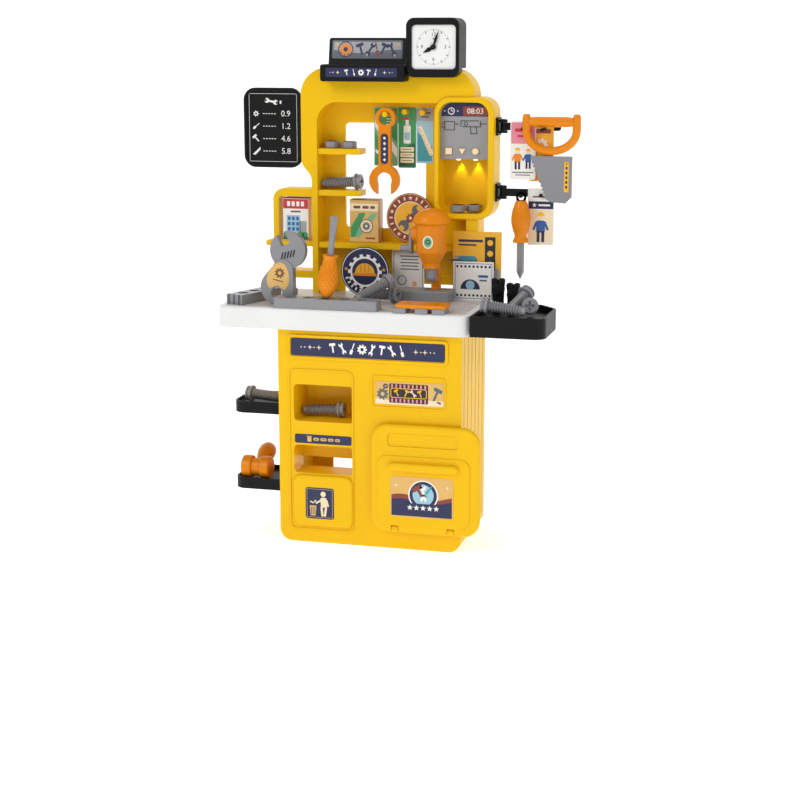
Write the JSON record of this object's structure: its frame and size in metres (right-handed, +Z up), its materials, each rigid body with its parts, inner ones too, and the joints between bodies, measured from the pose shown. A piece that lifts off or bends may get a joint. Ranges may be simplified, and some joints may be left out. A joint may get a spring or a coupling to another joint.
{
  "type": "toy workbench",
  "caption": "Toy workbench with a cabinet, drop-down storage door, worktop, tall back frame with shelves, swing arms, play clock and control box, and its hanging and standing toy tools.",
  "frame": {"origin": "centre of the cabinet's flat underside", "axes": "+X to the right of a child facing the bench, +Y away from the child towards the back frame, +Z up"},
  "size_m": [0.4199, 0.1695, 0.6203],
  "materials": {
    "yellow_shell": "moulded, satin",
    "orange_tool": "moulded, satin",
    "grey_tool": "moulded, satin",
    "black_plastic": "moulded, fine texture",
    "white_top": "moulded",
    "plank_sheet": "printed planks, matt",
    "cream_button": "moulded",
    "navy_label": "printed, satin",
    "printed_card": "printed, satin",
    "carton": "printed, satin",
    "dial_white": "printed",
    "screw_steel": "zinc plated",
    "circuit_green": "solder mask",
    "cell_steel": "polished",
    "lamp_clear": "clear, warm",
    "panel_grey": "printed"
  },
  "bodies": {
    "root": {"alcove_cabinet": "yellow_shell", "arm_brackets": "black_plastic", "arm_pins": "screw_steel", "back_frame": "yellow_shell", "battery_cover": "yellow_shell", "bolt_tray": "black_plastic", "button_cells": "cell_steel", "cabinet_back": "yellow_shell", "cabinet_floor": "yellow_shell", "cabinet_front": "yellow_shell", "cabinet_left_side": "yellow_shell", "cabinet_right_side": "yellow_shell", "cabinet_screws": "screw_steel", "circuit_board": "circuit_green", "clock_case": "black_plastic", "clock_dial": "dial_white", "control_box": "panel_grey", "lamps": "lamp_clear", "long_shelf": "yellow_shell", "menu_board": "black_plastic", "parts_boxes": "carton", "perforated_bars": "grey_tool", "picture_board": "black_plastic", "printed_cards": "printed_card", "printed_labels": "navy_label", "short_shelves": "yellow_shell", "side_rack": "yellow_shell", "side_trays": "black_plastic", "sign_tray": "black_plastic", "sound_disc": "cell_steel", "spring_clamps": "black_plastic", "toy_bolts": "grey_tool", "toy_nuts": "grey_tool", "work_plate": "orange_tool", "worktop": "white_top", "worktop_inlay": "plank_sheet"},
    "door": {"storage_door": "yellow_shell", "door_label": "navy_label"},
    "hour_hand": {"hour_hand": "black_plastic"},
    "minute_hand": {"minute_hand": "black_plastic"},
    "square_button": {"button_square": "cream_button"},
    "triangle_button": {"button_triangle": "cream_button"},
    "round_button": {"button_round": "cream_button"},
    "upper_arm": {"upper_arm": "black_plastic", "upper_arm_cards": "printed_card"},
    "lower_arm": {"lower_arm": "black_plastic", "lower_arm_card": "printed_card"},
    "saw": {"saw_handle": "orange_tool", "saw_blade": "grey_tool"},
    "hanging_driver": {"hanging_driver_handle": "orange_tool", "hanging_driver_shaft": "grey_tool"},
    "ring_wrench": {"ring_wrench": "orange_tool"},
    "standing_driver": {"standing_driver_handle": "orange_tool", "standing_driver_blade": "grey_tool"},
    "adjustable_wrench": {"adjustable_wrench": "grey_tool"},
    "drill_press": {"drill_base": "grey_tool", "drill_body": "orange_tool"},
    "drill_crank": {"drill_crank": "grey_tool"},
    "drill_chuck": {"drill_chuck": "grey_tool"},
    "mallet": {"mallet": "orange_tool"}
  },
  "joints": [
    {"name": "door_hinge", "type": "hinge", "parent": "root", "child": "door", "pos_m": [0.068, -0.0705, 0.026], "axis": [1, 0, 0], "range_deg": [0, 90]},
    {"name": "hour_hand_turn", "type": "hinge", "parent": "root", "child": "hour_hand", "pos_m": [0.0517, 0.036, 0.5864], "axis": [0, 1, 0], "continuous": true},
    {"name": "minute_hand_turn", "type": "hinge", "parent": "root", "child": "minute_hand", "pos_m": [0.0517, 0.036, 0.5864], "axis": [0, 1, 0], "continuous": true},
    {"name": "square_button_press", "type": "slide", "parent": "root", "child": "square_button", "axis": [0, 1, 0], "range_m": [0, 0.0015], "stiffness_N_per_m": 300},
    {"name": "triangle_button_press", "type": "slide", "parent": "root", "child": "triangle_button", "axis": [0, 1, 0], "range_m": [0, 0.0015], "stiffness_N_per_m": 300},
    {"name": "round_button_press", "type": "slide", "parent": "root", "child": "round_button", "axis": [0, 1, 0], "range_m": [0, 0.0015], "stiffness_N_per_m": 300},
    {"name": "upper_arm_swing", "type": "hinge", "parent": "root", "child": "upper_arm", "pos_m": [0.131, 0.069, 0.4935], "axis": [0, 0, 1], "range_deg": [-50, 5]},
    {"name": "lower_arm_swing", "type": "hinge", "parent": "root", "child": "lower_arm", "pos_m": [0.131, 0.069, 0.415], "axis": [0, 0, 1], "range_deg": [-5, 60]},
    {"name": "saw_unhook", "type": "slide", "parent": "upper_arm", "child": "saw", "axis": [0, -1, 0], "range_m": [0, 0.03]},
    {"name": "hanging_driver_unhook", "type": "slide", "parent": "lower_arm", "child": "hanging_driver", "axis": [0, -1, 0], "range_m": [0, 0.03]},
    {"name": "ring_wrench_unhook", "type": "slide", "parent": "root", "child": "ring_wrench", "axis": [0, -1, 0], "range_m": [0, 0.03]},
    {"name": "standing_driver_lift", "type": "slide", "parent": "root", "child": "standing_driver", "axis": [0, 0, 1], "range_m": [0, 0.05]},
    {"name": "adjustable_wrench_lift", "type": "slide", "parent": "root", "child": "adjustable_wrench", "axis": [0, 0, 1], "range_m": [0, 0.05]},
    {"name": "drill_press_lift", "type": "slide", "parent": "root", "child": "drill_press", "axis": [0, 0, 1], "range_m": [0, 0.05]},
    {"name": "crank_turn", "type": "hinge", "parent": "drill_press", "child": "drill_crank", "pos_m": [0.035, 0.018, 0.368], "axis": [1, 0, 0], "continuous": true},
    {"name": "chuck_turn", "type": "hinge", "parent": "drill_press", "child": "drill_chuck", "pos_m": [0.055, 0.018, 0.32], "axis": [0, 0, 1], "continuous": true},
    {"name": "mallet_lift", "type": "slide", "parent": "root", "child": "mallet", "axis": [0, 0, 1], "range_m": [0, 0.04]}
  ],
  "couplings": [
    {"joint": "chuck_turn", "follows": "crank_turn", "ratio": 1}
  ]
}
